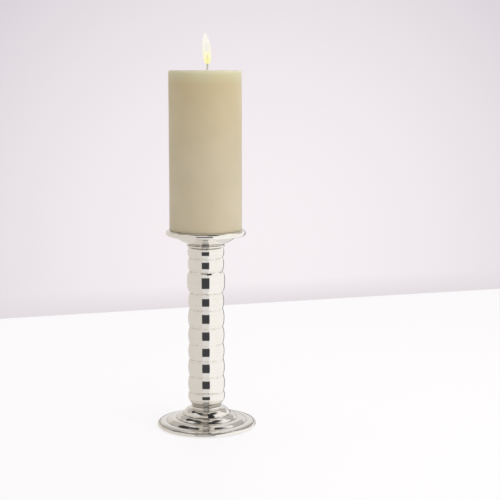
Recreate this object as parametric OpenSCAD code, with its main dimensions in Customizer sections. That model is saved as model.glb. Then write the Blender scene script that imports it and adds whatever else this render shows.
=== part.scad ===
// Silver pillar-candle candlestick: a spun ringed foot, a rippled tube column,
// a flat drip pan with a rolled rim and a pricket, all held on one tie rod.
// Millimetres, +Z up, origin on the table at the middle of the foot.

/* [Overall] */
// Diameter of the foot over its rolled rim
foot_d = 96.5; // [80:0.5:130]
// Height of the foot from the table to its hub
foot_h = 18.2; // [15:0.1:26]
// Length of the rippled column
column_len = 153.4; // [110:0.2:260]
// Diameter of the drip pan over its rolled rim
pan_d = 77.3; // [60:0.1:110]
// Height from the foot of the pan's support to the candle seat
pan_h = 13.3; // [11:0.1:18]

/* [Foot] */
// Thickness of the spun foot
foot_wall = 0.8; // [0.5:0.05:1.2]
// Outer radius of the rolled foot rim
foot_roll_r = 1.75; // [1.4:0.05:2.5]
// Gap between the foot rim and the table
foot_lift = 0.3; // [0.1:0.05:0.8]
// How far the foot's outer crease lies inside the middle of the rolled rim
rim_crease_in = 0.2; // [0.1:0.05:0.6]
// How far that crease lies below the top of the rolled rim
rim_crease_drop = 0.1; // [0.05:0.05:0.4]
// Width of the flat hub that shows round the bead
hub_margin = 0.3; // [0.1:0.1:1.5]
// Where each ring groove lies, from 0 at the hub to 1 at the rim
ring_place = [0.762, 0.462, 0.25]; // [0.1:0.001:0.9]
// How high each ring groove lies, from 0 at the rim to 1 at the hub
ring_rise = [0.076, 0.283, 0.566]; // [0.02:0.001:0.9]
// How far each swell of the foot bulges, outermost first
swell_sag = [0.55, 0.9, 0.85, 1.3]; // [0.2:0.05:1.6]

/* [Foot filling] */
// Thickness of the felt under the foot
felt_t = 1.2; // [0.8:0.1:1.6]
// How far the felt's edge lies inside the foot's rim
felt_margin = 1; // [0.5:0.1:3]
// Thickness of the plate that closes the foot
cover_t = 0.8; // [0.5:0.1:1.2]
// Diameter of the hole through the iron weight
weight_hole_d = 20; // [18:0.5:24]
// Space between the iron weight and the foot above it
weight_gap = 0.6; // [0.3:0.1:1.5]

/* [Base of the column] */
// Height of the bright bead on the hub
bead_h = 1.8; // [1.2:0.1:2.6]
// How far the bead stands out from the foot of the collar
bead_out = 1; // [0.5:0.1:2]
// Height of the tapered collar above the bead
collar_h = 3.9; // [2.5:0.1:7]
// How far the top of the collar lies inside the column's grooves
collar_inset = 0.3; // [0.2:0.1:1]
// How much narrower the collar's foot is than its top
collar_taper = 1.6; // [0.5:0.1:4]

/* [Column] */
// Radius of the column in its grooves
groove_r = 16.2; // [14:0.1:22]
// How far each groove stands out beyond that radius, lowest first
groove_step = [0, 0.6, 0.4, 0.3, 0.2, 0.1, 0, -0.5, -0.2, 0, 0]; // [-1:0.1:1.5]
// Relative height of each ripple, lowest first
ripple_share = [10.5, 15.7, 16.6, 15.5, 16.4, 17.9, 15.8, 21.2, 13.2, 10.6]; // [8:0.1:26]
// How far each ripple stands out of its grooves, lowest first
ripple_rise = [1.5, 1.35, 1.35, 1.25, 1.35, 1.5, 1.45, 2.6, 1.35, 1.5]; // [0.5:0.05:3]
// Wall of the column in its deepest groove
column_wall = 1.2; // [0.8:0.1:2.5]
// Height of the turned plug in each end of the column
plug_h = 8; // [5:0.5:14]

/* [Neck] */
// Height of the neck between the column and the pan's support
neck_h = 3.1; // [2.4:0.1:5]
// How far the neck's rounded lip stands out from the column's grooves
neck_lip_out = 2.3; // [1.5:0.1:4]
// Height of the rounded lip
neck_lip_h = 2.1; // [1.4:0.1:2.3]
// Depth of the groove above the lip
neck_groove_depth = 1.9; // [1.1:0.1:3]

/* [Drip pan] */
// Outer radius of the pan's rolled rim
pan_roll_r = 2.85; // [2.2:0.05:3.2]
// Thickness of the pan and of its support
pan_wall = 1; // [0.7:0.05:1.4]
// How far the support steps out from the neck's groove
support_step = 1.6; // [0.8:0.1:4]
// Height of the support's curved flank
support_h = 8.6; // [6:0.1:9.5]
// How far the support's flank bulges
support_sag = 0.8; // [0.3:0.05:1.4]
// Radius of the well in the middle of the pan
well_r = 10.2; // [9.8:0.1:14]
// Depth of that well
well_depth = 3; // [2.6:0.1:4]

/* [Pricket] */
// Length of the spike above its flange
spike_len = 24; // [15:0.5:40]
// Diameter of the spike at its flange
spike_d = 5.5; // [4:0.1:8]
// Radius of the spike's rounded tip
spike_tip_r = 0.35; // [0.25:0.05:0.8]
// Thickness of the pricket's flange
flange_t = 2; // [1.4:0.1:2.2]
// Thickness of the washer under the flange
pricket_washer_t = 0.8; // [0.5:0.1:1]
// Wall of the pricket's threaded boss around the rod
boss_wall = 2; // [1.4:0.1:2.6]
// Space left under the pricket's boss
boss_gap = 2.1; // [0.5:0.1:3]

/* [Tie rod] */
// Diameter of the tie rod
rod_d = 6; // [4:0.1:7.5]
// Clearance around the rod in every hole that it passes through
rod_clear = 0.3; // [0.1:0.05:0.6]
// Width of the tie nut across its flats
nut_af = 10; // [9.5:0.1:13]
// Height of the tie nut
nut_h = 5; // [3:0.1:5.5]
// Thickness of the flat washer under the foot's hub
tie_washer_t = 1.6; // [1:0.1:2.2]
// Diameter of that flat washer
tie_washer_d = 18; // [14:0.5:22]
// Thickness of the split spring washer
spring_washer_t = 1.6; // [1:0.1:2]
// Width of the spring washer's section
spring_washer_w = 2.6; // [1.6:0.1:3]
// Length of rod that shows below the nut
rod_tail = 2; // [1:0.5:2.5]
// Metal left between the end of the rod and the top of the pricket's flange
rod_cap = 3; // [2.5:0.5:5]

/* [Candle] */
// Diameter of the candle
candle_d = 70; // [50:1:90]
// Height of the candle
candle_h = 152.4; // [75:0.2:230]
// Radius of the candle's top edge
candle_top_r = 1.6; // [0.5:0.1:4]
// Radius of the candle's bottom edge
candle_foot_r = 0.6; // [0.3:0.1:2]
// Diameter of the wick
wick_d = 2; // [1.4:0.1:3]
// Height of the wick above the wax
wick_rise = 15; // [6:0.5:16]
// Wax left between the spike's hole and the end of the wick
wick_floor = 5; // [3:0.5:10]

/* [Fits] */
// Clearance of a close fit, on the radius
fit_gap = 0.05; // [0.02:0.01:0.1]
// Clearance round a piece that drops into a wider one
drop_gap = 0.3; // [0.2:0.05:0.6]
// Clearance between the spike and its hole in the wax
spike_gap = 0.3; // [0.2:0.05:0.6]

/* [Hidden] */

$fn = 96;
silver = [0.86, 0.85, 0.82];
steel = [0.62, 0.63, 0.64];
brass_tone = [0.80, 0.66, 0.36];
iron = [0.27, 0.27, 0.28];
felt_tone = [0.10, 0.14, 0.12];
wax = [0.87, 0.81, 0.64];
cotton = [0.36, 0.34, 0.31];
arc_steps = 10;
fine_steps = 6;
seam = 0.4;
cut = 1;
quarter_sag = 1 - cos(45);

// Radii that follow from the column's grooves, foot first.
collar_top_r = groove_r - collar_inset;
collar_low_r = collar_top_r - collar_taper;
bead_r = collar_low_r + bead_out;
hub_r = bead_r + hub_margin;
neck_lip_r = groove_r + neck_lip_out;
neck_groove_r = neck_lip_r - neck_groove_depth;
support_r = neck_groove_r + support_step;

rod_r = rod_d / 2;
hole_r = rod_r + rod_clear;
thread_r = rod_r + fit_gap;

// Levels, from the table up.
cover_z = felt_t;
weight_z = cover_z + cover_t;
bead_z = foot_h;
collar_z = bead_z + bead_h;
column_z = collar_z + collar_h;
neck_z = column_z + column_len;
support_z = neck_z + neck_h;
seat_z = support_z + pan_h;
wax_top = seat_z + candle_h;

// Levels under the foot's hub, from the hub down.
tie_washer_z = foot_h - foot_wall - tie_washer_t;
spring_washer_z = tie_washer_z - spring_washer_t;
nut_z = spring_washer_z - nut_h;
rod_z = nut_z - rod_tail;

// The foot's rolled rim and the grooves between its swells, outermost first.
foot_roll = [foot_d / 2 - foot_roll_r, foot_lift + foot_roll_r];
rim_crease = foot_roll + [-rim_crease_in, foot_roll_r - rim_crease_drop];
hub_edge = [hub_r, foot_h];
creases = [rim_crease,
           for (i = [0 : len(ring_place) - 1])
               [hub_r + ring_place[i] * (rim_crease[0] - hub_r),
                rim_crease[1] + ring_rise[i] * (foot_h - rim_crease[1])],
           hub_edge];

// The pan's rolled rim, its well and what stands in the well.
pan_roll = [pan_d / 2 - pan_roll_r, seat_z - pan_roll_r];
support_top_r = pan_roll[0] - pan_roll_r - drop_gap;
well_z = seat_z - well_depth;
flange_z = well_z + pricket_washer_t;
spike_z = flange_z + flange_t;
boss_z = support_z + pan_wall + boss_gap;
boss_r = rod_r + fit_gap + boss_wall;
boss_hole_r = boss_r + fit_gap;
flange_r = well_r - pan_wall - drop_gap;
rod_top = spike_z - rod_cap;
spike_top = spike_z + spike_len;

bore_r = groove_r + min(groove_step) - column_wall;
wick_z = spike_top + spike_gap + wick_floor;

// Points of an arc from p to q that bulges to the right of that line by sag.
function arc_points(p, q, sag, steps = arc_steps) =
    let (chord = norm(q - p),
         r = (chord * chord / 4 + sag * sag) / (2 * sag),
         half = asin(chord / (2 * r)),
         along = (q - p) / chord,
         out = [along[1], -along[0]])
    [for (i = [0 : steps])
        let (a = -half + 2 * half * i / steps)
        (p + q) / 2 + along * r * sin(a) + out * (r * cos(a) - r + sag)];

// The direction of a path at point i, from the points on each side of it.
function heading(path, i) =
    let (d = path[min(i + 1, len(path) - 1)] - path[max(i - 1, 0)]) d / norm(d);

// A path moved sideways by gap, to its left where gap is positive.
function beside(path, gap) =
    [for (i = [0 : len(path) - 1])
        let (h = heading(path, i)) path[i] + gap * [-h[1], h[0]]];

function reversed(path) = [for (i = [len(path) - 1 : -1 : 0]) path[i]];
function sum_to(v, n) = n == 0 ? 0 : v[n - 1] + sum_to(v, n - 1);

// Outer face of the foot from its rim up to its hub, one arc for each swell.
foot_path = [for (i = [0 : len(creases) - 2])
                for (p = arc_points(creases[i], creases[i + 1], swell_sag[i])) p];

// Outer face of the column, one arc for each ripple.
ripple_count = len(ripple_share);
ripple_scale = column_len / sum_to(ripple_share, ripple_count);
function groove(i) =
    [groove_r + groove_step[i], column_z + ripple_scale * sum_to(ripple_share, i)];
column_path = [for (i = [0 : ripple_count - 1])
                  for (p = arc_points(groove(i), groove(i + 1), ripple_rise[i])) p];

// Outer face of the pan's support, from the neck out to the rim and up to the pan.
support_path = [for (p = arc_points([support_r, support_z],
                                    [support_top_r, support_z + support_h], support_sag)) p];

// A turned ring or disc between two heights, around the axis.
module ring(inner_r, outer_r, low, high) {
    rotate_extrude()
        translate([inner_r, low])
            square([outer_r - inner_r, high - low]);
}

// A round wire laid in a rolled rim.
module rim_wire(centre, radius) {
    rotate_extrude()
        translate(centre)
            circle(radius);
}

// Section of a rolled rim: what is passed in, ending in a tube that is open at its seam.
module rolled_section(centre, outer_r, wall) {
    difference() {
        union() {
            children();
            translate(centre)
                circle(outer_r);
        }
        translate(centre)
            circle(outer_r - wall);
        translate(centre - [outer_r + cut, seam / 2])
            square([outer_r + cut, seam]);
    }
}

module felt_pad() {
    color(felt_tone)
        ring(0, foot_roll[0] - foot_roll_r - felt_margin, 0, felt_t);
}

module foot_cover() {
    color(brass_tone)
        ring(0, foot_roll[0] - foot_roll_r - fit_gap, cover_z, cover_z + cover_t);
}

module foot_weight() {
    below = [for (i = [1 : 3]) creases[i] - [weight_gap, foot_wall + weight_gap]];
    inner = weight_hole_d / 2;
    crown = [(inner + hub_r) / 2, below[2][1] + weight_gap];
    color(iron)
        rotate_extrude()
            polygon(concat([[inner, weight_z], [below[0][0], weight_z]], below,
                           [crown, [inner, crown[1]]]));
}

module foot_shell() {
    inside = [for (p = beside(foot_path, foot_wall)) if (p[1] < foot_h - foot_wall) p];
    color(silver)
        rotate_extrude()
            rolled_section(foot_roll, foot_roll_r, foot_wall)
                polygon(concat(foot_path,
                               [[hole_r, foot_h], [hole_r, foot_h - foot_wall],
                                [hub_r - foot_wall, foot_h - foot_wall]],
                               reversed(inside)));
}

module foot_rim_wire() {
    color(steel)
        rim_wire(foot_roll, foot_roll_r - foot_wall - fit_gap);
}

module tie_nut() {
    color(steel)
        difference() {
            translate([0, 0, nut_z])
                cylinder(d = nut_af / cos(30), h = nut_h, $fn = 6);
            translate([0, 0, nut_z - cut])
                cylinder(r = thread_r, h = nut_h + 2 * cut);
        }
}

module spring_washer() {
    color(steel)
        difference() {
            ring(hole_r, hole_r + spring_washer_w, spring_washer_z, tie_washer_z);
            translate([0, -seam / 2, spring_washer_z - cut])
                cube([hole_r + spring_washer_w + cut, seam, spring_washer_t + 2 * cut]);
        }
}

module tie_washer() {
    color(steel)
        ring(hole_r, tie_washer_d / 2, tie_washer_z, tie_washer_z + tie_washer_t);
}

module tie_rod() {
    color(steel)
        translate([0, 0, rod_z])
            cylinder(r = rod_r, h = rod_top - rod_z);
}

module foot_bead() {
    color(silver) {
        rotate_extrude() {
            translate([bead_r - bead_h / 2, bead_z + bead_h / 2])
                circle(bead_h / 2);
            translate([hole_r, bead_z])
                square([bead_r - bead_h / 2 - hole_r, bead_h]);
        }
    }
}

module foot_collar() {
    color(silver)
        rotate_extrude()
            polygon([[hole_r, collar_z], [collar_low_r, collar_z], [collar_top_r, column_z],
                     [hole_r, column_z]]);
}

module column_lower_plug() {
    color(brass_tone)
        ring(hole_r, bore_r - fit_gap, column_z, column_z + plug_h);
}

module column_tube() {
    color(silver)
        rotate_extrude()
            polygon(concat([[bore_r, column_z]], column_path, [[bore_r, neck_z]]));
}

module column_upper_plug() {
    color(brass_tone)
        ring(hole_r, bore_r - fit_gap, neck_z - plug_h, neck_z);
}

module neck_collar() {
    lip_r = neck_lip_h / 2;
    color(silver)
        rotate_extrude() {
            translate([neck_lip_r - lip_r, neck_z + lip_r])
                circle(lip_r);
            translate([hole_r, neck_z])
                square([neck_lip_r - lip_r - hole_r, neck_lip_h]);
            translate([hole_r, neck_z])
                square([neck_groove_r - hole_r, neck_h]);
        }
}

module pan_support() {
    top = seat_z - pan_wall;
    inside = [for (p = beside(support_path, pan_wall)) if (p[1] > support_z + pan_wall) p];
    color(silver)
        rotate_extrude()
            polygon(concat([[hole_r, support_z]], support_path,
                           [[support_top_r, top], [support_top_r - pan_wall, top]],
                           reversed(inside),
                           [[support_r, support_z + pan_wall], [hole_r, support_z + pan_wall]]));
}

module pan_spacer() {
    color(brass_tone)
        ring(boss_hole_r, well_r, support_z + pan_wall, well_z - pan_wall);
}

module drip_pan() {
    color(silver)
        rotate_extrude()
            rolled_section(pan_roll, pan_roll_r, pan_wall) {
                translate([boss_hole_r, well_z - pan_wall])
                    square([well_r - boss_hole_r, pan_wall]);
                translate([well_r - pan_wall, well_z - pan_wall])
                    square([pan_wall, well_depth + pan_wall]);
                translate([well_r - pan_wall, seat_z - pan_wall])
                    square([pan_roll[0] - well_r + pan_wall, pan_wall]);
            }
}

module pan_rim_wire() {
    color(steel)
        rim_wire(pan_roll, pan_roll_r - pan_wall - fit_gap);
}

module pricket_washer() {
    color(brass_tone)
        ring(boss_hole_r, flange_r, well_z, flange_z);
}

module pricket() {
    color(steel)
        difference() {
            union() {
                translate([0, 0, boss_z])
                    cylinder(r = boss_r, h = flange_z - boss_z);
                translate([0, 0, flange_z])
                    cylinder(r = flange_r, h = flange_t);
                translate([0, 0, spike_z])
                    cylinder(r1 = spike_d / 2, r2 = spike_tip_r, h = spike_len - spike_tip_r);
                translate([0, 0, spike_top - spike_tip_r])
                    sphere(spike_tip_r);
            }
            translate([0, 0, boss_z - cut])
                cylinder(r = thread_r, h = rod_top - boss_z + cut + fit_gap);
        }
}

module candle() {
    radius = candle_d / 2;
    body = concat([[0, seat_z]],
                  arc_points([radius - candle_foot_r, seat_z],
                             [radius, seat_z + candle_foot_r],
                             candle_foot_r * quarter_sag, fine_steps),
                  arc_points([radius, wax_top - candle_top_r],
                             [radius - candle_top_r, wax_top],
                             candle_top_r * quarter_sag, fine_steps),
                  [[0, wax_top]]);
    color(wax)
        difference() {
            rotate_extrude()
                polygon(body);
            translate([0, 0, spike_z])
                cylinder(r1 = spike_d / 2 + spike_gap, r2 = spike_tip_r + spike_gap,
                         h = spike_len + spike_gap);
            translate([0, 0, wick_z])
                cylinder(d = wick_d + 2 * fit_gap, h = wax_top - wick_z + cut);
        }
}

module wick() {
    color(cotton)
        translate([0, 0, wick_z])
            cylinder(d = wick_d, h = wax_top + wick_rise - wick_z);
}

felt_pad();
foot_cover();
foot_weight();
foot_shell();
foot_rim_wire();
tie_nut();
spring_washer();
tie_washer();
tie_rod();
foot_bead();
foot_collar();
column_lower_plug();
column_tube();
column_upper_plug();
neck_collar();
pan_support();
pan_spacer();
drip_pan();
pan_rim_wire();
pricket_washer();
pricket();
candle();
wick();
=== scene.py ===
import math

import bmesh
import bpy
from bpy.props import FloatProperty, FloatVectorProperty, IntProperty, PointerProperty
from mathutils import Matrix, Vector


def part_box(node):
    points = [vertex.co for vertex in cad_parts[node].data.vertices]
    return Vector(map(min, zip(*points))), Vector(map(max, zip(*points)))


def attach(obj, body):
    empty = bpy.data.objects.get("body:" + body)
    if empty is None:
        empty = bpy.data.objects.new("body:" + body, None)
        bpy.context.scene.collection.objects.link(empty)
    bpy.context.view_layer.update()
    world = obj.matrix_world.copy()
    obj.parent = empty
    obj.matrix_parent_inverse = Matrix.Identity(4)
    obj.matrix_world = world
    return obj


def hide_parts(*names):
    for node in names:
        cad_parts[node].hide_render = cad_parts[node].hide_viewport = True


bl_info = {
    "name": "Ringed Candlestick",
    "version": (1, 0, 0),
    "blender": (4, 5, 0),
    "location": "View3D > Sidebar > Candlestick",
    "description": "Silver candlestick with a rippled column and a lit pillar candle",
    "category": "Object",
}

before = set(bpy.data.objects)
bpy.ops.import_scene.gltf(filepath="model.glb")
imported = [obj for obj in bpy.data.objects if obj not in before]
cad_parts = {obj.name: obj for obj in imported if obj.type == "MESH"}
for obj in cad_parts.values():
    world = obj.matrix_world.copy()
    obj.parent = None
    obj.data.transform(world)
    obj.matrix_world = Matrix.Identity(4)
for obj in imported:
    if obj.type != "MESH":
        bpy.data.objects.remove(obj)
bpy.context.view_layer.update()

MM = 0.001
FULL_TURN = 2 * math.pi
ROD_CLEARANCE = 0.3 * MM


def corner(node, which, axis):
    """One figure of a CAD node's box: which is 0 for its lowest corner and 1 for its highest."""
    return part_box(node)[which][axis]


# Levels and radii that the CAD model settles.
hub_z = corner("foot_shell", 1, 2)
collar_z = corner("foot_collar", 0, 2)
column_z = corner("column_tube", 0, 2)
neck_z = corner("column_tube", 1, 2)
support_z = corner("pan_support", 0, 2)
seat_z = corner("drip_pan", 1, 2)
wax_top = corner("candle", 1, 2)
wick_low = corner("wick", 0, 2)
wick_top = corner("wick", 1, 2)
foot_r = corner("foot_shell", 1, 0)
pan_r = corner("drip_pan", 1, 0)
candle_r = corner("candle", 1, 0)
wick_r = corner("wick", 1, 0)
bead_r = corner("foot_bead", 1, 0)
hole_r = corner("tie_rod", 1, 0) + ROD_CLEARANCE
boss_z = corner("pricket_washer", 0, 2)


# --- Sizes and colours ---

def length(name, description, default):
    return FloatProperty(name=name, description=description, default=default,
                         unit="LENGTH", subtype="DISTANCE")


def angle(name, description, degrees):
    return FloatProperty(name=name, description=description, default=math.radians(degrees),
                         unit="ROTATION", subtype="ANGLE")


def number(name, description, default):
    return FloatProperty(name=name, description=description, default=default)


def colour(name, description, default):
    return FloatVectorProperty(name=name, description=description, default=default,
                               size=3, min=0.0, max=1.0, subtype="COLOR")


def shares(name, description, default):
    return FloatVectorProperty(name=name, description=description, default=default,
                               size=len(default))


class FootSettings(bpy.types.PropertyGroup):
    wall: length("Wall", "Thickness of the spun foot", 0.8 * MM)
    roll: length("Rim radius", "Radius of the rolled rim", 1.75 * MM)
    lift: length("Lift", "Gap between the rim and the table", 0.3 * MM)
    hub_margin: length("Hub margin", "Width of the flat hub that shows round the bead", 0.3 * MM)
    crease_inset: length("Crease inset", "From the middle of the rolled rim in to its crease",
                         0.2 * MM)
    crease_drop: length("Crease drop", "From the top of the rolled rim down to its crease",
                        0.1 * MM)
    ring_place: shares("Ring places", "Where each groove lies, 0 at the hub and 1 at the rim",
                       (0.762, 0.462, 0.25))
    ring_rise: shares("Ring heights", "How high each groove lies, 0 at the rim and 1 at the hub",
                      (0.076, 0.283, 0.566))
    swell: shares("Swells", "How far each swell bulges in millimetres, outermost first",
                  (0.55, 0.9, 0.85, 1.3))


class ColumnSettings(bpy.types.PropertyGroup):
    groove: length("Groove radius", "Radius of the column in its grooves", 16.2 * MM)
    step: shares("Groove steps", "How far each groove stands out in millimetres, lowest first",
                 (0.0, 0.6, 0.4, 0.3, 0.2, 0.1, 0.0, -0.5, -0.2, 0.0, 0.0))
    wall: length("Wall", "Wall of the column in its deepest groove", 1.2 * MM)
    height: shares("Ripple heights", "Relative height of each ripple, lowest first",
                   (10.5, 15.7, 16.6, 15.5, 16.4, 17.9, 15.8, 21.2, 13.2, 10.6))
    rise: shares("Ripple swells", "How far each ripple stands out in millimetres, lowest first",
                 (1.5, 1.35, 1.35, 1.25, 1.35, 1.5, 1.45, 2.6, 1.35, 1.5))
    fullness: shares("Ripple fullness", "2 for a round ripple, more for one with a flat face",
                     (2.2, 2.2, 2.2, 2.2, 2.2, 2.3, 2.2, 3.6, 2.8, 2.4))
    stray: length("Unevenness", "How far a groove strays from level, from its hand finish",
                  0.08 * MM)
    collar_inset: length("Collar inset", "How far the collar lies inside the grooves", 0.3 * MM)
    collar_taper: length("Collar taper", "How much narrower the collar's foot is", 1.6 * MM)
    # Painted shade: a darker silver tone that stands in for the darker surroundings the collar
    # reflects.
    collar_shade_tone: colour("Collar tone", "Colour of the duller silver on the collar",
                        (0.42, 0.395, 0.36))
    lip: length("Neck lip", "How far the neck's lip stands out from the grooves", 2.3 * MM)
    lip_height: length("Neck lip height", "Height of the rounded lip", 2.1 * MM)
    neck_groove: length("Neck groove", "Depth of the groove above the lip", 1.9 * MM)


class PanSettings(bpy.types.PropertyGroup):
    wall: length("Wall", "Thickness of the pan and its support", 1.0 * MM)
    roll: length("Rim radius", "Radius of the rolled rim", 2.85 * MM)
    well: length("Well radius", "Radius of the well in the middle", 10.2 * MM)
    well_depth: length("Well depth", "Depth of that well", 3.0 * MM)
    boss_hole: length("Boss hole", "Radius of the hole for the pricket's boss", 5.1 * MM)
    support_step: length("Support step", "How far the support steps out of the neck", 1.6 * MM)
    support_height: length("Support height", "Height of the support's flank", 8.6 * MM)
    support_swell: length("Support swell", "How far that flank bulges", 0.8 * MM)
    support_gap: length("Support gap", "Gap between the support and the rolled rim", 0.3 * MM)


class CandleSettings(bpy.types.PropertyGroup):
    top_edge: length("Top edge", "Radius of the worn top edge", 1.7 * MM)
    foot_edge: length("Bottom edge", "Radius of the bottom edge", 0.6 * MM)
    pool: length("Melt pool", "Depth of the hollow round the wick", 2.4 * MM)
    pool_r: length("Wet pool", "Radius of the shiny wax in that hollow", 13 * MM)
    climb: length("Climb", "How far the wax climbs the wick", 0.9 * MM)
    slump: length("Slump", "How far the wax strays from round", 0.1 * MM)
    spike_hole: length("Spike hole", "Radius of the hole for the spike at its mouth", 3.05 * MM)
    spike_len: length("Spike", "Length of the hole for the spike", 24.1 * MM)
    spike_tip: length("Spike tip", "Radius of that hole at its blunt end", 0.5 * MM)
    wick_lean: length("Wick lean", "How far the burning end leans to the side", 2.4 * MM)
    wick_twist: angle("Wick twist", "How far the braid turns in each step", 17)
    bend_drop: length("Bend drop", "From the wax's top down to where the wick bends", 2.6 * MM)
    bend_height: length("Bend height", "Height of the wick's bend", 4.5 * MM)
    flame_foot: length("Flame foot", "Height of the flame's foot above the wax", 4.8 * MM)
    flame_tip: length("Flame height", "Height of the flame above the wick's end", 20.6 * MM)
    flame_width: length("Flame width", "Widest radius of the flame", 4.4 * MM)
    wax: colour("Wax", "Colour of the ivory wax", (0.665, 0.577, 0.415))
    wax_warm: colour("Warm wax", "Colour of the wax in the upper half", (0.665, 0.56, 0.355))
    # Painted glow: the flame's light in the wax close under its top.
    wax_painted_glow: colour("Lit wax", "Colour of the wax close under its top", (0.72, 0.685, 0.445))
    wax_edge: colour("Worn wax", "Colour of the wax's worn top edge", (0.90, 0.835, 0.735))


class FinishSettings(bpy.types.PropertyGroup):
    silver: colour("Silver", "Colour of the polished silver", (0.93, 0.91, 0.875))
    tarnish: colour("Tarnish", "Colour of the silver deep in its grooves", (0.60, 0.55, 0.47))
    # Painted shade: a near-black tone that darkens the sharpest creases, where shade falls.
    painted_crease_shade: colour("Grime", "Colour of the dirt held in the sharpest creases", (0.10, 0.09, 0.08))
    turns: IntProperty(name="Turns", description="Steps in each turned piece", default=192)


class StageSettings(bpy.types.PropertyGroup):
    distance: length("Distance", "From the camera to the column's axis", 1.212)
    tilt: angle("Tilt", "How far the camera looks down", 8.1)
    swing: angle("Swing", "How far the camera looks to the right", 2.02)
    lens: number("Lens", "Focal length in millimetres", 91.0)
    aim: length("Aim", "Height that the softboxes face", 0.2)
    floor: colour("Floor", "Colour of the pale table", (0.36, 0.355, 0.365))
    floor_glow: number("Floor glow", "Light that the table gives off", 0.71)
    floor_reach: length("Floor reach", "From the middle of the table to its sides", 3.0)
    floor_drop: length("Floor drop", "Gap between the felt and the table", 0.2 * MM)
    back_edge: length("Table edge", "From the column's axis back to the table's edge", 0.629)
    back_slant: number("Table slant", "How the back edge recedes to the right", 0.29)
    wall: colour("Wall", "Colour of the wall in its pool of light", (0.925, 0.87, 0.90))
    wall_far: colour("Far wall", "Colour of the wall outside that pool", (0.70, 0.655, 0.70))
    pool_place: shares("Pool place", "Middle of that pool, to the right and up", (0.04, -0.135))
    pool_reach: number("Pool reach", "Square of how far that pool reaches", 0.076)
    # Painted shade: the tone of a glowing strip that darkens the wall's foot behind the table.
    wall_foot: colour("Wall foot", "Colour of the wall down behind the table",
                      (0.77, 0.72, 0.75))
    shade_height: length("Shade height", "Height of the shade on the wall's foot", 34 * MM)
    room: colour("Room", "Colour of the soft light from all sides", (0.42, 0.41, 0.375))
    studio_low: colour("Low studio", "What the silver shows at table height",
                       (0.78, 0.765, 0.75))
    studio_high: colour("High studio", "What the silver shows overhead", (0.06, 0.057, 0.053))


# --- Outlines and turned meshes ---

def arc(p, q, sag, steps):
    """Points from p to q along a circular arc that bulges to the right of that line by sag."""
    p, q = Vector(p), Vector(q)
    chord = (q - p).length
    radius = (chord * chord / 4 + sag * sag) / (2 * sag)
    half = math.asin(chord / (2 * radius))
    along = (q - p) / chord
    out = Vector((along.y, -along.x))
    points = []
    for i in range(steps + 1):
        a = half * (2 * i / steps - 1)
        points.append((p + q) / 2 + along * radius * math.sin(a)
                      + out * (radius * math.cos(a) - radius + sag))
    return points


def ripple(low, high, rise, fullness, steps):
    """Points of one swell between two grooves, with a flatter face where it is fuller."""
    points = []
    for i in range(steps + 1):
        u = 2 * i / steps - 1
        point = low.lerp(high, i / steps)
        point.x += rise * (1 - abs(u) ** fullness)
        points.append(point)
    return points


def sweep(centre, radius, start, end, steps):
    """Points round a centre from the start angle to the end angle, in degrees."""
    points = []
    for i in range(steps + 1):
        a = math.radians(start + (end - start) * i / steps)
        points.append(Vector(centre) + radius * Vector((math.cos(a), math.sin(a))))
    return points


def beside(path, gap):
    """A path moved sideways by gap, to its left where gap is positive."""
    moved = []
    for i, point in enumerate(path):
        ahead = path[min(i + 1, len(path) - 1)] - path[max(i - 1, 0)]
        ahead.normalize()
        moved.append(point + gap * Vector((-ahead.y, ahead.x)))
    return moved


def joined(*paths):
    """Several stretches as one path, with no point twice in a row."""
    points = []
    for path in paths:
        for point in path:
            point = Vector(point)
            if not points or (point - points[-1]).length > 1e-6:
                points.append(point)
    return points


def rounded(path, places, passes=3, reach=2):
    """Softens a path round the given places, as a spinner's tool leaves an inside corner."""
    points = [p.copy() for p in path]
    soft = [i for i in range(1, len(points) - 1)
            if any(abs(i - at) <= reach for at in places)]
    for _ in range(passes):
        old = [p.copy() for p in points]
        for i in soft:
            points[i] = old[i] * 0.5 + (old[i - 1] + old[i + 1]) * 0.25
    return points


def turned(name, outline, closed=True, turns=None, sharp=35.0):
    """A piece turned on the lathe: the outline of (radius, height) points spun round the axis."""
    turns = turns or bpy.context.scene.finish_settings.turns
    mesh = bpy.data.meshes.new(name)
    bm = bmesh.new()
    corners = [bm.verts.new((p.x, 0.0, p.y)) for p in outline]
    edges = [bm.edges.new(pair) for pair in zip(corners, corners[1:])]
    if closed:
        edges.append(bm.edges.new((corners[-1], corners[0])))
    bmesh.ops.spin(bm, geom=corners + edges, cent=(0, 0, 0), axis=(0, 0, 1), dvec=(0, 0, 0),
                   angle=FULL_TURN, steps=turns, use_merge=True, use_duplicate=False)
    bmesh.ops.remove_doubles(bm, verts=bm.verts, dist=1e-7)
    bmesh.ops.recalc_face_normals(bm, faces=bm.faces)
    bm.to_mesh(mesh)
    bm.free()
    return finished(name, mesh, sharp)


def finished(name, mesh, sharp):
    """Links a mesh as an object at the origin, smooth but for its sharp corners."""
    mesh.shade_smooth()
    mesh.set_sharp_from_angle(angle=math.radians(sharp))
    piece = bpy.data.objects.new(name, mesh)
    bpy.context.scene.collection.objects.link(piece)
    return piece


def hand_finish(piece, size, low, high, seed):
    """Lets the turned surface stray a little from true, as metal finished by hand does."""
    for vertex in piece.data.vertices:
        x, y, z = vertex.co
        if not low < z < high:
            continue
        around = math.atan2(y, x)
        up = (z - low) / (high - low) * FULL_TURN
        stray = (math.sin(around + 3.1 * up + seed) + 0.6 * math.sin(2 * around - 4.7 * up)
                 + 0.4 * math.sin(3 * around + 7.3 * up + 2.0 * seed))
        fade = math.sin(0.5 * up) ** 0.5
        vertex.co.z = z + size * stray * fade


def near(value, places, width, most=1.0):
    """How close a value lies to the nearest place: most on it, fading to 0 over the width."""
    return most * max(math.exp(-((value - at) / width) ** 2) for at in places)


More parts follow.
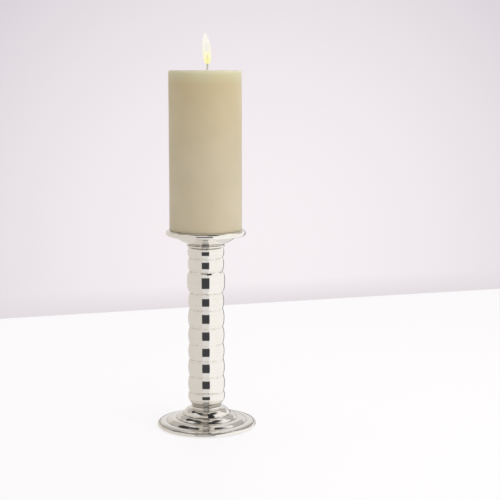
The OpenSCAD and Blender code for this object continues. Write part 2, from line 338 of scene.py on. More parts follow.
def mark(piece, name, depth):
    """Stores a depth for each point as an attribute, for the tarnish or the painted crease shade
    to follow.
    """
    attribute = piece.data.attributes.new(name, "FLOAT", "POINT")
    for vertex in piece.data.vertices:
        radius = math.hypot(vertex.co.x, vertex.co.y)
        attribute.data[vertex.index].value = depth(radius, vertex.co.z)


def sheet(name, size, place, material):
    """A flat square whose corners go where place() puts them, for the stage only."""
    mesh = bpy.data.meshes.new(name)
    bm = bmesh.new()
    bmesh.ops.create_grid(bm, x_segments=1, y_segments=1, size=size)
    for vertex in bm.verts:
        vertex.co = place(vertex.co.x, vertex.co.y)
    bm.to_mesh(mesh)
    bm.free()
    mesh.materials.append(material)
    flat = bpy.data.objects.new(name, mesh)
    bpy.context.scene.collection.objects.link(flat)
    return flat


def stand_in(piece, finish, body, slot, *nodes):
    """Gives a piece its finish and its CAD body, in place of the CAD nodes it stands for."""
    piece.data.materials.append(finish)
    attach(piece, body)
    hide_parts(*nodes)


# --- Materials ---

class Nodes:
    """A node tree in the making, with a short way to add and join its nodes."""

    def __init__(self, owner, output):
        owner.use_nodes = True
        self.owner = owner
        self.tree = owner.node_tree
        self.tree.nodes.clear()
        self.output = self.add(output)

    def add(self, kind, **values):
        node = self.tree.nodes.new(kind)
        for key, value in values.items():
            setattr(node, key, value)
        return node

    def join(self, source, target):
        self.tree.links.new(source, target)

    def feed(self, node, **sources):
        """Joins each source to the node's input of that name."""
        for key, source in sources.items():
            self.join(source, node.inputs[key.replace("_", " ")])

    def ramp(self, source, low, high, to_low, to_high):
        node = self.add("ShaderNodeMapRange")
        for key, value in (("From Min", low), ("From Max", high),
                           ("To Min", to_low), ("To Max", to_high)):
            node.inputs[key].default_value = value
        self.join(source, node.inputs["Value"])
        return node.outputs["Result"]

    def blend(self, factor, first, second):
        node = self.add("ShaderNodeMix", data_type="RGBA")
        self.join(factor, node.inputs["Factor"])
        for socket, value in (("A", first), ("B", second)):
            target = [s for s in node.inputs if s.name == socket and s.type == "RGBA"][0]
            if isinstance(value, bpy.types.NodeSocket):
                self.join(value, target)
            else:
                target.default_value = (*value, 1.0)
        return [s for s in node.outputs if s.type == "RGBA"][0]

    def maths(self, operation, first, second):
        node = self.add("ShaderNodeMath", operation=operation)
        for socket, value in zip(node.inputs, (first, second)):
            if isinstance(value, bpy.types.NodeSocket):
                self.join(value, socket)
            else:
                socket.default_value = value
        return node.outputs["Value"]

    def mixed(self, factor, first, second):
        """One shader where the factor is 0 and the other where it is 1."""
        node = self.add("ShaderNodeMixShader")
        for socket, source in zip(node.inputs, (factor, first, second)):
            self.join(source, socket)
        return node.outputs["Shader"]


class Sky(Nodes):
    """The world in the making, on the direction that each ray goes."""

    def __init__(self, name):
        super().__init__(bpy.data.worlds.new(name), "ShaderNodeOutputWorld")

    def direction(self):
        """The direction looked in: to the right, away from the camera and up."""
        split = self.add("ShaderNodeSeparateXYZ")
        self.join(self.add("ShaderNodeTexCoord").outputs["Generated"], split.inputs["Vector"])
        return [split.outputs[axis] for axis in "XYZ"]

    def background(self, source):
        """A sky of one colour, or of the colour that a node gives."""
        node = self.add("ShaderNodeBackground")
        if isinstance(source, bpy.types.NodeSocket):
            self.join(source, node.inputs["Color"])
        else:
            node.inputs["Color"].default_value = (*source, 1.0)
        return node.outputs["Background"]


class Finish(Nodes):
    """A material in the making, on the coordinates of its object."""

    def __init__(self, name):
        super().__init__(bpy.data.materials.new(name), "ShaderNodeOutputMaterial")
        self.place = self.add("ShaderNodeTexCoord").outputs["Object"]

    def shader(self, **values):
        node = self.add("ShaderNodeBsdfPrincipled")
        for key, value in values.items():
            node.inputs[key.replace("_", " ")].default_value = value
        self.join(node.outputs["BSDF"], self.output.inputs["Surface"])
        return node

    def stretched(self, scale):
        node = self.add("ShaderNodeMapping")
        node.inputs["Scale"].default_value = scale
        self.join(self.place, node.inputs["Vector"])
        return node.outputs["Vector"]

    def noise(self, scale, detail, roughness, vector=None):
        node = self.add("ShaderNodeTexNoise")
        node.inputs["Scale"].default_value = scale
        node.inputs["Detail"].default_value = detail
        node.inputs["Roughness"].default_value = roughness
        self.join(vector or self.place, node.inputs["Vector"])
        return node.outputs["Fac"]

    def bump(self, height, distance, strength, base=None):
        node = self.add("ShaderNodeBump")
        node.inputs["Distance"].default_value = distance
        node.inputs["Strength"].default_value = strength
        self.join(height, node.inputs["Height"])
        if base:
            self.join(base, node.inputs["Normal"])
        return node.outputs["Normal"]

    def veil(self, thickness, glow):
        """Glowing gas: clear where its thickness is 0."""
        clear = self.add("ShaderNodeBsdfTransparent")
        mix = self.mixed(thickness, clear.outputs["BSDF"], glow.outputs["Emission"])
        self.join(mix, self.output.inputs["Surface"])

    def from_axis(self):
        """Distance from the turning axis, and height."""
        split = self.add("ShaderNodeSeparateXYZ")
        self.join(self.place, split.inputs["Vector"])
        squares = [self.maths("MULTIPLY", split.outputs[n], split.outputs[n]) for n in "XY"]
        return self.maths("SQRT", self.maths("ADD", *squares), 0.0), split.outputs["Z"]

    def turned_place(self):
        """A place that is the same all round the axis, for the marks of a lathe."""
        radius, height = self.from_axis()
        along = self.add("ShaderNodeCombineXYZ")
        self.join(radius, along.inputs["X"])
        self.join(height, along.inputs["Z"])
        return along.outputs["Vector"]

    def stored(self, name):
        """A depth that mark() has stored on the mesh."""
        return self.add("ShaderNodeAttribute", attribute_name=name).outputs["Fac"]


def silver_finish(name, least_darkening=0.0, grooved=True, tarnish=None):
    """Polished silver plate: turning lines, faint smears, tarnish in the grooves and painted
    shade in the sharpest creases.
    """
    settings = bpy.context.scene.finish_settings
    tarnish = tuple(tarnish or settings.tarnish)
    made = Finish(name)
    shader = made.shader(Metallic=1.0, Roughness=0.05)
    along = made.turned_place()
    turning = made.noise(5200.0, 2.0, 0.6, along)
    band = made.noise(620.0, 3.0, 0.6, along)
    smear = made.noise(95.0, 4.0, 0.55, made.stretched((1.0, 1.0, 0.45)))
    patch = made.noise(260.0, 2.0, 0.5)
    worn = made.maths("ADD", made.ramp(smear, 0.35, 0.75, least_darkening, least_darkening + 0.10),
                      made.ramp(band, 0.45, 0.75, 0.0, 0.16))
    bright = made.blend(worn, tuple(settings.silver), tarnish)
    if grooved:
        stain = made.maths("MULTIPLY", made.stored("groove"),
                           made.ramp(patch, 0.38, 0.66, 0.05, 0.75))
        bright = made.blend(stain, bright, tarnish)
        # Painted shade: the crease mark darkens the sharpest creases towards near black.
        painted_crease_shade = made.maths("MULTIPLY", made.stored("crease"),
                           made.ramp(patch, 0.3, 0.6, 0.55, 1.0))
        bright = made.blend(painted_crease_shade, bright, tuple(settings.painted_crease_shade))
    fine = made.bump(turning, 0.004 * MM, 0.12)
    made.feed(shader, Base_Color=bright, Roughness=made.ramp(smear, 0.42, 0.72, 0.035, 0.085),
              Normal=made.bump(patch, 0.02 * MM, 0.25, fine))
    return made.owner


def metal_finish(name, tone, dark, roughness):
    """Plain turned or drawn metal for the pieces inside."""
    made = Finish(name)
    shader = made.shader(Metallic=1.0, Roughness=roughness)
    turning = made.noise(1800.0, 3.0, 0.6, made.turned_place())
    stain = made.noise(140.0, 4.0, 0.6)
    made.feed(shader, Base_Color=made.blend(made.ramp(stain, 0.35, 0.75, 0.0, 0.7), tone, dark),
              Roughness=made.ramp(stain, 0.3, 0.7, roughness * 0.8, roughness * 1.35),
              Normal=made.bump(turning, 0.03 * MM, 0.5))
    return made.owner


def iron_finish():
    """Rough sand-cast iron."""
    made = Finish("sand_cast_iron")
    shader = made.shader(Metallic=0.75, Roughness=0.75)
    grit = made.noise(900.0, 6.0, 0.7)
    rust = made.noise(120.0, 5.0, 0.6)
    rusted = made.blend(made.ramp(rust, 0.5, 0.75, 0.0, 0.6), (0.055, 0.055, 0.06),
                        (0.13, 0.07, 0.045))
    made.feed(shader, Base_Color=rusted, Normal=made.bump(grit, 0.25 * MM, 0.8))
    return made.owner


def felt_finish():
    """Dense black pressed felt."""
    made = Finish("pressed_felt")
    shader = made.shader(Roughness=0.95, Sheen_Weight=0.35, Sheen_Roughness=0.5)
    fibre = made.noise(2600.0, 5.0, 0.7, made.stretched((1.0, 2.2, 1.0)))
    clump = made.noise(420.0, 3.0, 0.6)
    black = made.blend(made.ramp(fibre, 0.35, 0.7, 0.0, 1.0), (0.012, 0.014, 0.013),
                       (0.045, 0.05, 0.047))
    made.feed(shader, Base_Color=black,
              Normal=made.bump(made.maths("ADD", fibre, clump), 0.18 * MM, 0.9))
    return made.owner


def wax_finish():
    """Ivory wax that lets light in: pale at its worn top edge, yellower in its upper half, and
    with the flame's glow painted close under its top.
    """
    settings = bpy.context.scene.candle_settings
    made = Finish("ivory_wax")
    shader = made.shader(Roughness=0.42, Subsurface_Weight=0.5, Subsurface_Scale=0.005,
                         Subsurface_Radius=(1.0, 0.7, 0.40), Specular_IOR_Level=0.25)
    radius, height = made.from_axis()
    cloud = made.noise(26.0, 4.0, 0.55)
    bloom = made.noise(240.0, 4.0, 0.6, made.stretched((1.0, 1.0, 0.35)))
    warm = made.ramp(height, wax_top - 95 * MM, wax_top - 18 * MM, 0.0, 1.0)
    # Painted glow: the wax turns a lighter yellow-green close under its top, as if lit by the
    # flame.
    painted_glow = made.ramp(height, wax_top - 13 * MM, wax_top - 2 * MM, 0.0, 1.0)
    edge = made.ramp(height, wax_top - 3.5 * MM, wax_top - 0.5 * MM, 0.0, 0.7)
    body = made.blend(warm, tuple(settings.wax), tuple(settings.wax_warm))
    body = made.blend(painted_glow, body, tuple(settings.wax_painted_glow))
    body = made.blend(edge, body, tuple(settings.wax_edge))
    body = made.blend(made.ramp(cloud, 0.35, 0.7, 0.0, 0.14), body, tuple(settings.wax_edge))
    pool_r = settings.pool_r
    melted = made.maths("MULTIPLY", made.ramp(radius, pool_r, pool_r + 3 * MM, 0.30, 0.0),
                        made.ramp(height, wax_top - 9 * MM, wax_top - 6 * MM, 0.0, 1.0))
    dull = made.ramp(bloom, 0.3, 0.7, 0.36, 0.52)
    uneven = made.maths("ADD", cloud, made.maths("MULTIPLY", bloom, 0.3))
    made.feed(shader, Base_Color=body, Roughness=made.maths("SUBTRACT", dull, melted),
              Normal=made.bump(uneven, 0.12 * MM, 0.35))
    return made.owner


def wick_finish():
    """Braided cotton: pale where it leaves the wax, charred higher up, glowing at its end."""
    made = Finish("burnt_wick")
    shader = made.shader(Roughness=0.9, Emission_Strength=1.0)
    _, height = made.from_axis()
    char = made.ramp(height, wax_top + 3.5 * MM, wax_top + 9 * MM, 0.0, 1.0)
    ember = made.ramp(height, wick_top - 2.4 * MM, wick_top, 0.0, 1.0)
    fibre = made.noise(3200.0, 4.0, 0.7, made.stretched((1.0, 1.0, 0.3)))
    made.feed(shader, Base_Color=made.blend(char, (0.90, 0.87, 0.82), (0.06, 0.05, 0.045)),
              Emission_Color=made.blend(ember, (0.0, 0.0, 0.0), (1.0, 0.32, 0.06)),
              Normal=made.bump(fibre, 0.08 * MM, 0.8))
    return made.owner


def flame_finish(name, low, high, low_tone, high_tone, strength, thick, thin):
    """Glowing gas that changes its tone and thickness from the low level to the high one."""
    made = Finish(name)
    _, height = made.from_axis()
    glow = made.add("ShaderNodeEmission")
    glow.inputs["Strength"].default_value = strength
    up = made.ramp(height, low, high, 0.0, 1.0)
    made.join(made.blend(up, low_tone, high_tone), glow.inputs["Color"])
    made.veil(made.ramp(height, low, high, thick, thin), glow)
    return made.owner


def paint(node_name, material):
    """Gives a CAD node that stays shown its finish."""
    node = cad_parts[node_name]
    node.data.materials.clear()
    node.data.materials.append(material)


# --- Operators, one for each group of pieces ---

class CANDLESTICK_OT_foot(bpy.types.Operator):
    """Spun foot with its ring grooves and rolled rim"""
    bl_idname = "candlestick.foot"
    bl_label = "Foot"

    def execute(self, context):
        foot = context.scene.foot_settings
        roll = Vector((foot_r - foot.roll, foot.lift + foot.roll))
        hub_r = bead_r + foot.hub_margin
        crease = [roll + Vector((-foot.crease_inset, foot.roll - foot.crease_drop))]
        for across, up in zip(foot.ring_place, foot.ring_rise):
            crease.append(Vector((hub_r + across * (crease[0].x - hub_r),
                                  crease[0].y + up * (hub_z - crease[0].y))))
        crease.append(Vector((hub_r, hub_z)))
        steps = 14
        swells = [arc(p, q, sag * MM, steps)
                  for p, q, sag in zip(crease, crease[1:], foot.swell)]
        top = joined(*swells)
        top = rounded(top, [steps * i for i in range(1, len(swells))])
        under = [p for p in beside(top, foot.wall) if p.y < hub_z - foot.wall]
        curl = sweep(roll, foot.roll, 98, -185, 40)
        lining = sweep(roll, foot.roll - foot.wall, -185, 96, 32)
        outline = joined(reversed(curl), top, [(hole_r, hub_z), (hole_r, hub_z - foot.wall)],
                         [(hub_r - foot.wall, hub_z - foot.wall)], reversed(under),
                         reversed(lining))
        piece = turned("spun_foot", outline)
        rings = [p.x for p in crease[:-1]]
        mark(piece, "groove", lambda r, z: near(r, rings, width=0.9 * MM))
        # Painted shade: darkest in the crease inside the rolled rim, fainter in the ring grooves.
        mark(piece, "crease", lambda r, z: max(near(r, rings[:1], width=0.42 * MM),
                                               near(r, rings[1:], width=0.35 * MM, most=0.45)))
        stand_in(piece, silver_finish("foot_silver"), "holder", "silver_plate", "foot_shell")
        return {"FINISHED"}


class CANDLESTICK_OT_collar(bpy.types.Operator):
    """Bead and tapered collar under the column"""
    bl_idname = "candlestick.collar"
    bl_label = "Bead and collar"

    def execute(self, context):
        column = context.scene.column_settings
        bead_h = collar_z - hub_z
        silver = silver_finish("bead_silver", grooved=False)
        # Painted shade: the collar's silver is darkened almost all over, for the darker
        # reflection it shows.
        dull = silver_finish("collar_silver", least_darkening=0.8, tarnish=column.collar_shade_tone)
        bead = turned("hub_bead", joined([(hole_r, hub_z)],
                      sweep((bead_r - bead_h / 2, hub_z + bead_h / 2), bead_h / 2, -90, 90, 20),
                      [(hole_r, collar_z)]))
        top = column.groove - column.collar_inset
        low = top - column.collar_taper
        collar = turned("tapered_collar", joined([(hole_r, collar_z)],
                        arc((low, collar_z), (top, column_z), -0.35 * MM, 12),
                        [(hole_r, column_z)]))
        seams = (collar_z, column_z)
        mark(collar, "groove", lambda r, z: near(z, seams, width=0.8 * MM))
        # Painted shade: dark lines where the collar meets the bead and the column.
        mark(collar, "crease", lambda r, z: near(z, seams, width=0.3 * MM, most=0.8))
        stand_in(bead, silver, "holder", "silver_plate", "foot_bead")
        stand_in(collar, dull, "holder", "silver_plate", "foot_collar")
        return {"FINISHED"}


class CANDLESTICK_OT_column(bpy.types.Operator):
    """Rippled column, one tube with soft uneven swells"""
    bl_idname = "candlestick.column"
    bl_label = "Column"

    def execute(self, context):
        column = context.scene.column_settings
        scale = (neck_z - column_z) / sum(column.height)
        level = column_z
        grooves = [Vector((column.groove + column.step[0] * MM, level))]
        for share, step in zip(column.height, column.step[1:]):
            level += share * scale
            grooves.append(Vector((column.groove + step * MM, level)))
        steps = 16
        ripples = [ripple(low, high, rise * MM, fullness, steps) for low, high, rise, fullness
                   in zip(grooves, grooves[1:], column.rise, column.fullness)]
        face = joined(*ripples)
        bore = column.groove + min(column.step) * MM - column.wall
        # A low sharp angle keeps the grooves between the ripples crisp.
        piece = turned("rippled_column", joined([(bore, column_z)], face, [(bore, neck_z)]),
                       sharp=14.0)
        hand_finish(piece, column.stray, column_z, neck_z, seed=0.7)
        levels = [at.y for at in grooves]
        mark(piece, "groove", lambda r, z: near(z, levels, width=0.8 * MM))
        # Painted shade: a dark line at the column's foot, where it meets the collar.
        mark(piece, "crease", lambda r, z: near(z, levels[:1], width=0.35 * MM))
        stand_in(piece, silver_finish("column_silver"), "holder", "silver_plate", "column_tube")
        return {"FINISHED"}


class CANDLESTICK_OT_pan(bpy.types.Operator):
    """Neck, support and drip pan with its rolled rim"""
    bl_idname = "candlestick.pan"
    bl_label = "Neck and pan"

    def execute(self, context):
        column = context.scene.column_settings
        pan = context.scene.pan_settings
        lip_r = column.groove + column.lip
        lip = column.lip_height / 2
        neck_groove = lip_r - column.neck_groove
        neck = turned("neck_lip", joined([(hole_r, neck_z)],
                      sweep((lip_r - lip, neck_z + lip), lip, -90, 60, 18),
                      arc((neck_groove + 0.25 * MM, neck_z + column.lip_height),
                          (neck_groove + 0.1 * MM, support_z), -0.12 * MM, 6),
                      [(hole_r, support_z)]))
        roll = Vector((pan_r - pan.roll, seat_z - pan.roll))
        start = neck_groove + pan.support_step
        flank_r = roll.x - pan.roll - pan.support_gap
        flank = arc((start, support_z), (flank_r, support_z + pan.support_height),
                    pan.support_swell, 16)
        inner = [p for p in beside(flank, pan.wall) if p.y > support_z + pan.wall]
        under = seat_z - pan.wall
        support = turned("pan_saucer", joined(
            [(hole_r, support_z)], flank, [(flank_r, under), (flank_r - pan.wall, under)],
            reversed(inner), [(start, support_z + pan.wall), (hole_r, support_z + pan.wall)]))
        well_z = seat_z - pan.well_depth
        # The well's side leans out a little, with eased corners at its foot and its top.
        dish = turned("pan_dish", joined(
            [(pan.boss_hole, boss_z), (pan.well - pan.wall, well_z)],
            [(pan.well - pan.wall * 0.9, well_z + 0.1 * MM)],
            [(pan.well - pan.wall * 0.35, seat_z - 0.35 * MM), (pan.well, seat_z)],
            sweep(roll, pan.roll, 90, -185, 48),
            sweep(roll, pan.roll - pan.wall, -185, 88, 36),
            [(pan.well + 0.2 * MM, under), (pan.well, under - 0.3 * MM),
             (pan.well, well_z - pan.wall), (pan.boss_hole, well_z - pan.wall)]))
        seams = (neck_z, neck_z + column.lip_height, support_z)
        mark(neck, "groove", lambda r, z: near(z, seams, width=0.6 * MM))
        # Painted shade: dark lines at the lip's foot, above the lip and where the support begins.
        mark(neck, "crease", lambda r, z: near(z, seams, width=0.3 * MM, most=0.7))
        silver = silver_finish("pan_silver", grooved=False)
        stand_in(neck, silver_finish("neck_silver"), "holder", "silver_plate", "neck_collar")
        stand_in(support, silver, "holder", "silver_plate", "pan_support")
        stand_in(dish, silver, "holder", "silver_plate", "drip_pan")
        return {"FINISHED"}


class CANDLESTICK_OT_candle(bpy.types.Operator):
    """Ivory pillar candle, its wick and its flame"""
    bl_idname = "candlestick.candle"
    bl_label = "Candle"

    def execute(self, context):
        candle = context.scene.candle_settings
        self.wax(candle)
        self.wick(candle)
        self.flame(candle)
        return {"FINISHED"}

    def wax(self, candle):
        edge, low = candle.top_edge, candle.foot_edge
        rim = Vector((candle_r - edge, wax_top))
        hole_top = seat_z + candle.spike_len
        pool = [rim]
        steps = 16
        for i in range(1, steps + 1):
            share = i / steps
            sink = candle.pool * 0.5 * (1 - math.cos(math.pi * min(1.0, share * 1.25)))
            climb = near(share, [1.0], width=0.06, most=candle.climb)
            pool.append(Vector((rim.x * (1 - share), wax_top - sink + climb)))
        outline = joined([(0.0, hole_top), (candle.spike_tip, hole_top - candle.spike_tip),
                          (candle.spike_hole, seat_z + 0.1 * MM), (candle.spike_hole, seat_z)],
                         sweep((candle_r - low, seat_z + low), low, -90, 0, 8),
                         [(candle_r, seat_z + (wax_top - seat_z) * i / 40)
                          for i in range(1, 40)],
                         sweep((candle_r - edge, wax_top - edge), edge, 0, 90, 12), pool)
        piece = turned("wax_pillar", outline, closed=False, turns=160)
        for vertex in piece.data.vertices:
            x, y, z = vertex.co
            around = math.atan2(y, x)
            up = (z - seat_z) / (wax_top - seat_z)
            wave = math.sin(2 * around + 5.0 * up) + 0.6 * math.sin(3 * around - 9.0 * up + 1.0)
            outward = min(1.0, math.hypot(x, y) / candle_r) ** 4
            taper = 1.0 - 0.002 * up
            narrow = taper * (1 - abs(candle.slump * wave * outward) / candle_r)
            vertex.co.x = x * narrow
            vertex.co.y = y * narrow
        stand_in(piece, wax_finish(), "candle", "candle_wax", "candle")

    def centre_line(self, candle, z):
        """Where the wick's middle lies at a height: upright in the wax, leaning above it."""
        rise = (z - wax_top + candle.bend_drop) / candle.bend_height
        rise = min(1.0, max(0.0, rise))
        return candle.wick_lean * rise * rise * (3 - 2 * rise)

    def wick(self, candle):
        core, strands, depth, taper = 0.82, 3, 0.17, 0.86
        bm = bmesh.new()
        ring = bmesh.ops.create_circle(bm, cap_ends=True, radius=wick_r * core,
                                       segments=18)["verts"]
        for vertex in ring:
            swell = 1.0 + depth * math.cos(strands * math.atan2(vertex.co.y, vertex.co.x))
            vertex.co.x *= swell
            vertex.co.y *= swell
        bmesh.ops.translate(bm, verts=ring, vec=(0, 0, wick_low))
        bare = wax_top - 3 * MM
        burnt = wick_top - 1.2 * MM
        levels = [wick_low + (bare - wick_low) * i / 24 for i in range(1, 25)]
        levels += [bare + (wick_top - bare) * i / 48 for i in range(1, 49)]
        height = wick_low
        face = bm.faces[:]
        for level in levels:
            made = bmesh.ops.extrude_discrete_faces(bm, faces=face)
            face = made["faces"]
            ring = list(face[0].verts)
            middle = sum((v.co for v in ring), Vector()) / len(ring)
            shift = self.centre_line(candle, level) - self.centre_line(candle, height)
            bmesh.ops.rotate(bm, verts=ring, cent=middle,
                             matrix=Matrix.Rotation(candle.wick_twist, 3, "Z"))
            if level > burnt:
                bmesh.ops.scale(bm, verts=ring, vec=(taper, taper, 1.0),
                                space=Matrix.Translation(-middle))
            bmesh.ops.translate(bm, verts=ring, vec=(shift, 0, level - height))
            height = level
        bmesh.ops.holes_fill(bm, edges=[edge for edge in bm.edges if edge.is_boundary])
        bmesh.ops.recalc_face_normals(bm, faces=bm.faces)
        mesh = bpy.data.meshes.new("braided_wick")
        bm.to_mesh(mesh)
        bm.free()
        piece = finished("braided_wick", mesh, 60.0)
        stand_in(piece, wick_finish(), "candle", "cotton_wick", "wick")

    def flame(self, candle):
        """Glowing shells, one inside the other: veil, body, the dim middle and the core.

        Each has its width, start and end as shares of the whole flame, its tones at the start
        and the end, its strength, and its thickness at the start and the end.
        """
        foot = wax_top + candle.flame_foot
        tall = wick_top + candle.flame_tip - foot
        white, cream, yellow = (1.0, 0.985, 0.93), (1.0, 0.965, 0.62), (0.99, 0.93, 0.26)
        dim, haze = (0.77, 0.73, 0.77), (0.84, 0.79, 0.83)
        shells = (
            ("flame_veil", 1.0, 0.0, 1.0, cream, white, 1.0, 0.30, 0.28),
            ("flame_body", 0.80, 0.03, 0.95, cream, white, 1.0, 0.34, 0.36),
            ("flame_middle", 0.46, 0.40, 0.72, dim, haze, 1.0, 0.80, 0.35),
            ("flame_core", 0.72, 0.04, 0.47, yellow, (1.0, 0.98, 0.60), 1.02, 0.95, 0.30),
        )
        steps = 32
        for name, wide, start, end, *look in shells:
            outline = []
            for i in range(steps + 1):
                t = i / steps
                bulge = math.sin(math.pi * t ** 0.8) if 0 < i < steps else 0.0
                outline.append(Vector((candle.flame_width * wide * bulge ** 0.52,
                                       foot + tall * (start + (end - start) * t))))
            piece = turned(name, joined(outline), closed=False, turns=40)
            for vertex in piece.data.vertices:
                up = (vertex.co.z - foot) / tall
                vertex.co.x += candle.wick_lean * (1.0 - 0.25 * up - 0.75 * up * up)
            piece.data.materials.append(flame_finish(
                name, foot + tall * start, foot + tall * end, *look))
            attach(piece, "candle")


class CANDLESTICK_OT_inside(bpy.types.Operator):
    """Finishes for the rod, nut, washers, plugs, weight, plate and felt"""
    bl_idname = "candlestick.inside"
    bl_label = "Inside pieces"

    def execute(self, context):
        steel = metal_finish("zinc_steel", (0.62, 0.63, 0.65), (0.40, 0.40, 0.41), 0.28)
        brass = metal_finish("lathe_brass", (0.83, 0.63, 0.30), (0.58, 0.40, 0.16), 0.25)
        for name in ("tie_nut", "spring_washer", "tie_washer", "tie_rod", "foot_rim_wire",
                     "pan_rim_wire", "pricket"):
            paint(name, steel)
        for name in ("foot_cover", "column_lower_plug", "column_upper_plug", "pan_spacer",
                     "pricket_washer"):
            paint(name, brass)
        paint("foot_weight", iron_finish())
        paint("felt_pad", felt_finish())
        return {"FINISHED"}


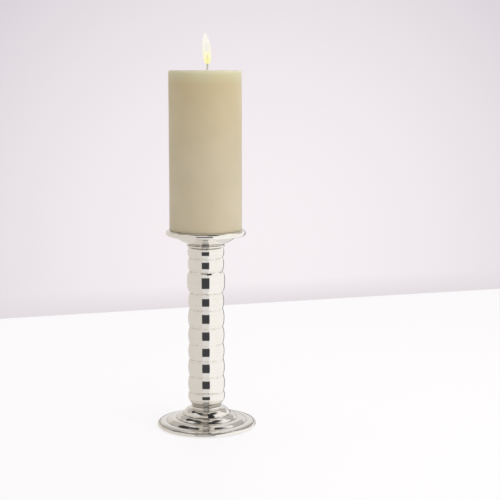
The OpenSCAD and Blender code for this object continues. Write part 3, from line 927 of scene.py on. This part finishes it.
class CANDLESTICK_OT_stage(bpy.types.Operator):
    """Camera, pale table, wall colour and soft light"""
    bl_idname = "candlestick.stage"
    bl_label = "Stage"

    def execute(self, context):
        stage = context.scene.stage_settings
        context.scene.view_settings.view_transform = "Standard"
        self.camera(context, stage)
        self.floor(stage)
        self.wall_foot(stage)
        self.world(context, stage)
        self.lights(stage)
        return {"FINISHED"}

    def camera(self, context, stage):
        data = bpy.data.cameras.new("camera")
        data.lens = stage.lens
        data.sensor_width = 36.0
        data.clip_start, data.clip_end = 0.05, 50.0
        camera = bpy.data.objects.new("camera", data)
        camera.location = (0.0, -stage.distance, wax_top)
        camera.rotation_euler = (math.pi / 2 - stage.tilt, 0.0, -stage.swing)
        context.scene.collection.objects.link(camera)
        context.scene.camera = camera

    def floor(self, stage):
        """A pale table whose back edge runs a little closer on the left."""
        made = Finish("pale_table")
        shader = made.shader(Roughness=0.55, Specular_IOR_Level=0.15,
                             Emission_Color=(1.0, 0.985, 1.0, 1.0),
                             Emission_Strength=stage.floor_glow)
        speck = made.ramp(made.noise(60.0, 3.0, 0.5), 0.3, 0.7, 0.0, 0.02)
        made.feed(shader, Base_Color=made.blend(speck, tuple(stage.floor), (0.8, 0.79, 0.8)))

        def place(x, y):
            back = stage.back_edge + stage.back_slant * x
            return x, back if y > 0 else y, -stage.floor_drop

        table = sheet("table", stage.floor_reach, place, made.owner)
        table.visible_glossy = False

    def wall_foot(self, stage):
        """The soft shade low on the wall, just behind the table's back edge."""
        made = Finish("wall_shade")
        shade = made.add("ShaderNodeEmission")
        shade.inputs["Color"].default_value = (*stage.wall_foot, 1.0)
        _, height = made.from_axis()
        made.veil(made.ramp(height, 0.0, stage.shade_height, 0.9, 0.0), shade)

        def place(x, y):
            back = stage.back_edge + stage.back_slant * x + 2 * MM
            return x, back, stage.shade_height / 2 * (y + 1)

        strip = sheet("wall_foot", 1.0, place, made.owner)
        for ray in ("glossy", "diffuse", "shadow", "transmission"):
            setattr(strip, "visible_" + ray, False)

    def world(self, context, stage):
        """Wall colour for the camera, soft light for the room, and a studio for the silver."""
        made = Sky("studio")
        context.scene.world = made.owner
        ray = made.add("ShaderNodeLightPath").outputs
        right, _, up = made.direction()
        squares = []
        for source, middle in zip((right, up), stage.pool_place):
            off = made.maths("SUBTRACT", source, middle)
            squares.append(made.maths("MULTIPLY", off, off))
        far = made.ramp(made.maths("ADD", *squares), 0.0, stage.pool_reach, 0.0, 1.0)
        wall = made.background(made.blend(far, tuple(stage.wall), tuple(stage.wall_far)))
        room = made.background(stage.room)
        studio = made.background(self.studio(made, stage))
        around = made.mixed(ray["Is Glossy Ray"], room, studio)
        made.join(made.mixed(ray["Is Camera Ray"], around, wall), made.output.inputs["Surface"])

    def studio(self, made, stage):
        """What stands round the object: light boards and dark gaps, each a patch of the sky.

        Each has its two sides in degrees from the front, where the right is positive, its
        lowest and highest level over the horizon, how soft its edge is, and its tone.
        """
        patches = (
            ("left board", -170, -26, -90, 50, 3, (0.72, 0.68, 0.64)),
            ("right board", 21, 150, -90, 54, 3, (1.0, 0.985, 0.96)),
            ("front gap", -27, 21, -23, 14, 1.5, (0.055, 0.055, 0.06)),
            ("dark corner", 148, 182, -20, -2, 3, (0.22, 0.21, 0.21)),
            ("left dusk", -176, -120, 24, 46, 3, (0.50, 0.48, 0.45)),
            ("right dusk", 122, 166, 20, 48, 3, (0.50, 0.48, 0.45)),
            ("left rigging", -158, -112, 44, 62, 2, (0.04, 0.04, 0.04)),
            ("front ceiling", -48, 10, 52, 88, 4, (0.24, 0.21, 0.18)),
            ("front flag", 8, 50, 43, 70, 1.5, (0.03, 0.03, 0.03)),
        )
        right, away, up = made.direction()
        round_it = made.maths("DEGREES", made.maths("ARCTAN2", right, made.maths(
            "MULTIPLY", away, -1.0)), 0.0)
        level = made.maths("DEGREES", made.maths("ARCSINE", up, 0.0), 0.0)
        overhead = made.ramp(level, 57, 65, 0.0, 1.0)
        tone = made.blend(overhead, tuple(stage.studio_low), tuple(stage.studio_high))
        for _, left, right_side, low, high, soft, shade in patches:
            inside = made.ramp(round_it, left - soft, left + soft, 0.0, 1.0)
            for source, start, end in ((round_it, right_side + soft, right_side - soft),
                                       (level, low - soft, low + soft),
                                       (level, high + soft, high - soft)):
                inside = made.maths("MULTIPLY", inside, made.ramp(source, start, end, 0.0, 1.0))
            tone = made.blend(inside, tone, shade)
        return tone

    def lights(self, stage):
        """Softboxes over the table and on the right of the candle, and the flame's own glow."""
        softboxes = (("right_softbox", Vector((0.95, -0.72, 0.45)), 0.8, 4.35),
                     ("top_softbox", Vector((0.1, 0.1, 1.4)), 1.2, 5.0))
        for name, at, size, power in softboxes:
            data = bpy.data.lights.new(name, "AREA")
            data.shape = "SQUARE"
            data.size = size
            data.energy = power
            data.color = (0.97, 1.0, 1.0)
            light = bpy.data.objects.new(name, data)
            light.location = at
            facing = Vector((0, 0, stage.aim)) - at
            light.rotation_euler = facing.to_track_quat("-Z", "Y").to_euler()
            light.visible_glossy = False
            bpy.context.scene.collection.objects.link(light)
        data = bpy.data.lights.new("flame_glow", "POINT")
        data.color = (1.0, 0.78, 0.45)
        data.energy = 0.004
        data.shadow_soft_size = 3 * MM
        glow = bpy.data.objects.new("flame_glow", data)
        glow.location = (2.0 * MM, 0.0, wick_top + 3 * MM)
        glow.visible_camera = False
        glow.visible_glossy = False
        bpy.context.scene.collection.objects.link(glow)


# --- Panel and registration ---

OPERATORS = (
    CANDLESTICK_OT_stage,
    CANDLESTICK_OT_foot,
    CANDLESTICK_OT_collar,
    CANDLESTICK_OT_column,
    CANDLESTICK_OT_pan,
    CANDLESTICK_OT_candle,
    CANDLESTICK_OT_inside,
)

SETTINGS = (
    ("foot_settings", FootSettings),
    ("column_settings", ColumnSettings),
    ("pan_settings", PanSettings),
    ("candle_settings", CandleSettings),
    ("finish_settings", FinishSettings),
    ("stage_settings", StageSettings),
)


class CANDLESTICK_PT_panel(bpy.types.Panel):
    bl_idname = "CANDLESTICK_PT_panel"
    bl_label = "Candlestick"
    bl_space_type = "VIEW_3D"
    bl_region_type = "UI"
    bl_category = "Candlestick"

    def draw(self, context):
        for name, settings in SETTINGS:
            box = self.layout.box()
            box.label(text=settings.__name__.replace("Settings", ""))
            for key in settings.__annotations__:
                box.prop(getattr(context.scene, name), key)
        for operator in OPERATORS:
            self.layout.operator(operator.bl_idname)


def register():
    for _, settings in SETTINGS:
        bpy.utils.register_class(settings)
    for name, settings in SETTINGS:
        setattr(bpy.types.Scene, name, PointerProperty(type=settings))
    for operator in OPERATORS:
        bpy.utils.register_class(operator)
    bpy.utils.register_class(CANDLESTICK_PT_panel)


def unregister():
    bpy.utils.unregister_class(CANDLESTICK_PT_panel)
    for operator in reversed(OPERATORS):
        bpy.utils.unregister_class(operator)
    for name, settings in reversed(SETTINGS):
        delattr(bpy.types.Scene, name)
        bpy.utils.unregister_class(settings)


def main():
    register()
    bpy.ops.candlestick.stage()
    bpy.ops.candlestick.foot()
    bpy.ops.candlestick.collar()
    bpy.ops.candlestick.column()
    bpy.ops.candlestick.pan()
    bpy.ops.candlestick.candle()
    bpy.ops.candlestick.inside()


if __name__ == "__main__":
    main()
